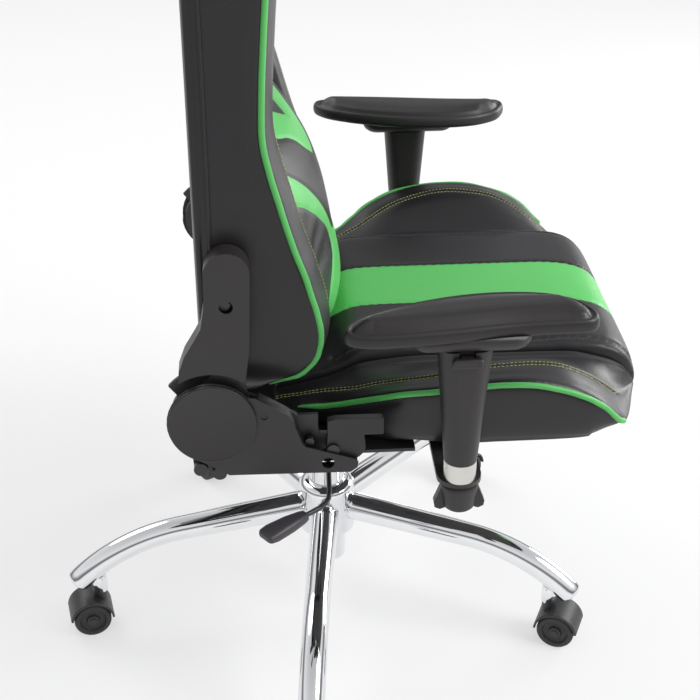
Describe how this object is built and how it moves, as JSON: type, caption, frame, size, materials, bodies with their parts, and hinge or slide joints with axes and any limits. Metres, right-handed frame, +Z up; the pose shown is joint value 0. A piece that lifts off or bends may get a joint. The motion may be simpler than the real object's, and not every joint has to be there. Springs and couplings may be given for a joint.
{
  "type": "racing style office chair",
  "caption": "Racing-style office chair with bucket seat, reclining back, height-adjustable armrests, gas lift and chrome star base on twin-wheel casters.",
  "frame": {"origin": "floor point under the gas lift's axis", "axes": "+X towards the front of the chair, +Y towards the sitter's left, +Z up"},
  "size_m": [0.7269, 0.72, 1.24],
  "materials": {
    "chrome": "polished, strongly reflective",
    "column": "polished",
    "steel": "black powder coat",
    "zinc": "zinc plated",
    "silver": "satin",
    "plastic": "fine grained, matte",
    "pad": "soft touch polyurethane skin",
    "leather": "smooth artificial leather, faint grain",
    "wheel": "black polyurethane tread",
    "board": "raw plywood"
  },
  "bodies": {
    "base": {"base_star": "chrome", "gas_column": "column"},
    "lift_rod": {"gas_rod": "zinc"},
    "chassis": {"gas_cylinder": "column", "mechanism_housing": "steel", "tilt_pin": "zinc"},
    "gas_lever": {"gas_lever_rod": "steel", "gas_lever_grip": "plastic"},
    "tension_knob": {"tension_knob": "plastic"},
    "seat": {"seat_plate": "steel", "seat_board": "board", "seat_rails": "steel", "seat_bolts": "zinc", "seat_cushion": "leather", "recliner_hubs": "zinc", "seat_wing_right": "leather", "recliner_plate_right": "steel", "lower_cover_right": "plastic", "disc_cap_right": "plastic", "arm_bracket_right": "steel", "seat_wing_left": "leather", "recliner_plate_left": "steel", "lower_cover_left": "plastic", "disc_cap_left": "plastic", "arm_bracket_left": "steel"},
    "sync_shaft": {"sync_shaft": "zinc"},
    "recline_lever": {"recline_lever": "plastic"},
    "back": {"back_frame": "steel", "back_bolts": "zinc", "back_center": "leather", "back_rear_panel": "leather", "headrest": "leather", "back_arm_right": "steel", "upper_cover_right": "plastic", "back_wing_right": "leather", "back_arm_left": "steel", "upper_cover_left": "plastic", "back_wing_left": "leather"},
    "arm_post_right": {"arm_tube_right": "silver"},
    "armrest_right": {"arm_sleeve_right": "plastic", "arm_pad_plate_right": "plastic", "arm_pad_right": "pad"},
    "arm_button_right": {"arm_button_right": "plastic"},
    "wing_knob_right": {"wing_knob_right": "plastic"},
    "arm_post_left": {"arm_tube_left": "silver"},
    "armrest_left": {"arm_sleeve_left": "plastic", "arm_pad_plate_left": "plastic", "arm_pad_left": "pad"},
    "arm_button_left": {"arm_button_left": "plastic"},
    "wing_knob_left": {"wing_knob_left": "plastic"},
    "caster_1": {"caster_hood_1": "plastic"},
    "wheels_1": {"caster_wheels_1": "wheel"},
    "caster_2": {"caster_hood_2": "plastic"},
    "wheels_2": {"caster_wheels_2": "wheel"},
    "caster_3": {"caster_hood_3": "plastic"},
    "wheels_3": {"caster_wheels_3": "wheel"},
    "caster_4": {"caster_hood_4": "plastic"},
    "wheels_4": {"caster_wheels_4": "wheel"},
    "caster_5": {"caster_hood_5": "plastic"},
    "wheels_5": {"caster_wheels_5": "wheel"}
  },
  "joints": [
    {"name": "swivel", "type": "hinge", "parent": "base", "child": "lift_rod", "pos_m": [0, 0, 0.07], "axis": [0, 0, 1], "continuous": true},
    {"name": "seat_height", "type": "slide", "parent": "lift_rod", "child": "chassis", "axis": [0, 0, 1], "range_m": [0, 0.1]},
    {"name": "seat_tilt", "type": "hinge", "parent": "chassis", "child": "seat", "pos_m": [0.06, 0, 0.374], "axis": [0, -1, 0], "range_deg": [0, 10], "stiffness_Nm_per_rad": 150, "springref_deg": -20.05},
    {"name": "gas_lever_lift", "type": "hinge", "parent": "chassis", "child": "gas_lever", "pos_m": [-0.002, -0.0435, 0.367], "axis": [-1, 0, 0], "range_deg": [0, 4], "stiffness_Nm_per_rad": 6, "springref_deg": -5.73},
    {"name": "tension_knob_turn", "type": "hinge", "parent": "chassis", "child": "tension_knob", "pos_m": [0.078, 0, 0.34], "axis": [0, 0, 1], "continuous": true},
    {"name": "back_recline", "type": "hinge", "parent": "seat", "child": "back", "pos_m": [-0.138, 0, 0.456], "axis": [0, -1, 0], "range_deg": [0, 65]},
    {"name": "recline_lever_lift", "type": "hinge", "parent": "seat", "child": "recline_lever", "pos_m": [-0.005, -0.275, 0.413], "axis": [0, -1, 0], "range_deg": [0, 18], "stiffness_Nm_per_rad": 0.6, "springref_deg": -17.19},
    {"name": "sync_shaft_turn", "type": "hinge", "parent": "seat", "child": "sync_shaft", "pos_m": [-0.138, 0, 0.456], "axis": [0, -1, 0], "range_deg": [0, 18]},
    {"name": "arm_width_right", "type": "slide", "parent": "seat", "child": "arm_post_right", "axis": [0, 1, 0], "range_m": [0, 0.01]},
    {"name": "arm_height_right", "type": "slide", "parent": "arm_post_right", "child": "armrest_right", "axis": [0, 0, 1], "range_m": [0, 0.07]},
    {"name": "arm_button_lift_right", "type": "slide", "parent": "armrest_right", "child": "arm_button_right", "axis": [0, 0, 1], "range_m": [0, 0.004], "stiffness_N_per_m": 300, "springref_m": -0.004},
    {"name": "wing_knob_turn_right", "type": "hinge", "parent": "arm_post_right", "child": "wing_knob_right", "pos_m": [0.133, -0.3177, 0.37], "axis": [0, 0, 1], "continuous": true},
    {"name": "arm_width_left", "type": "slide", "parent": "seat", "child": "arm_post_left", "axis": [0, -1, 0], "range_m": [0, 0.01]},
    {"name": "arm_height_left", "type": "slide", "parent": "arm_post_left", "child": "armrest_left", "axis": [0, 0, 1], "range_m": [0, 0.07]},
    {"name": "arm_button_lift_left", "type": "slide", "parent": "armrest_left", "child": "arm_button_left", "axis": [0, 0, 1], "range_m": [0, 0.004], "stiffness_N_per_m": 300, "springref_m": -0.004},
    {"name": "wing_knob_turn_left", "type": "hinge", "parent": "arm_post_left", "child": "wing_knob_left", "pos_m": [0.133, 0.3177, 0.37], "axis": [0, 0, 1], "continuous": true},
    {"name": "caster_swivel_1", "type": "hinge", "parent": "base", "child": "caster_1", "pos_m": [-0.0349, -0.31608, 0.07], "axis": [0, 0, 1], "continuous": true},
    {"name": "wheel_spin_1", "type": "hinge", "parent": "caster_1", "child": "wheels_1", "pos_m": [-0.03654, -0.33099, 0.025], "axis": [0.994, -0.1097, 0], "continuous": true},
    {"name": "caster_swivel_2", "type": "hinge", "parent": "base", "child": "caster_2", "pos_m": [0.28983, -0.13086, 0.07], "axis": [0, 0, 1], "continuous": true},
    {"name": "wheel_spin_2", "type": "hinge", "parent": "caster_2", "child": "wheels_2", "pos_m": [0.3035, -0.13703, 0.025], "axis": [0.4115, 0.9114, 0], "continuous": true},
    {"name": "caster_swivel_3", "type": "hinge", "parent": "base", "child": "caster_3", "pos_m": [0.21402, 0.2352, 0.07], "axis": [0, 0, 1], "continuous": true},
    {"name": "wheel_spin_3", "type": "hinge", "parent": "caster_3", "child": "wheels_3", "pos_m": [0.22411, 0.2463, 0.025], "axis": [-0.7396, 0.673, 0], "continuous": true},
    {"name": "caster_swivel_4", "type": "hinge", "parent": "base", "child": "caster_4", "pos_m": [-0.15756, 0.27622, 0.07], "axis": [0, 0, 1], "continuous": true},
    {"name": "wheel_spin_4", "type": "hinge", "parent": "caster_4", "child": "wheels_4", "pos_m": [-0.16499, 0.28925, 0.025], "axis": [-0.8686, -0.4955, 0], "continuous": true},
    {"name": "caster_swivel_5", "type": "hinge", "parent": "base", "child": "caster_5", "pos_m": [-0.31139, -0.06449, 0.07], "axis": [0, 0, 1], "continuous": true},
    {"name": "wheel_spin_5", "type": "hinge", "parent": "caster_5", "child": "wheels_5", "pos_m": [-0.32608, -0.06753, 0.025], "axis": [0.2028, -0.9792, 0], "continuous": true}
  ],
  "couplings": [
    {"joint": "sync_shaft_turn", "follows": "recline_lever_lift", "ratio": 1}
  ]
}
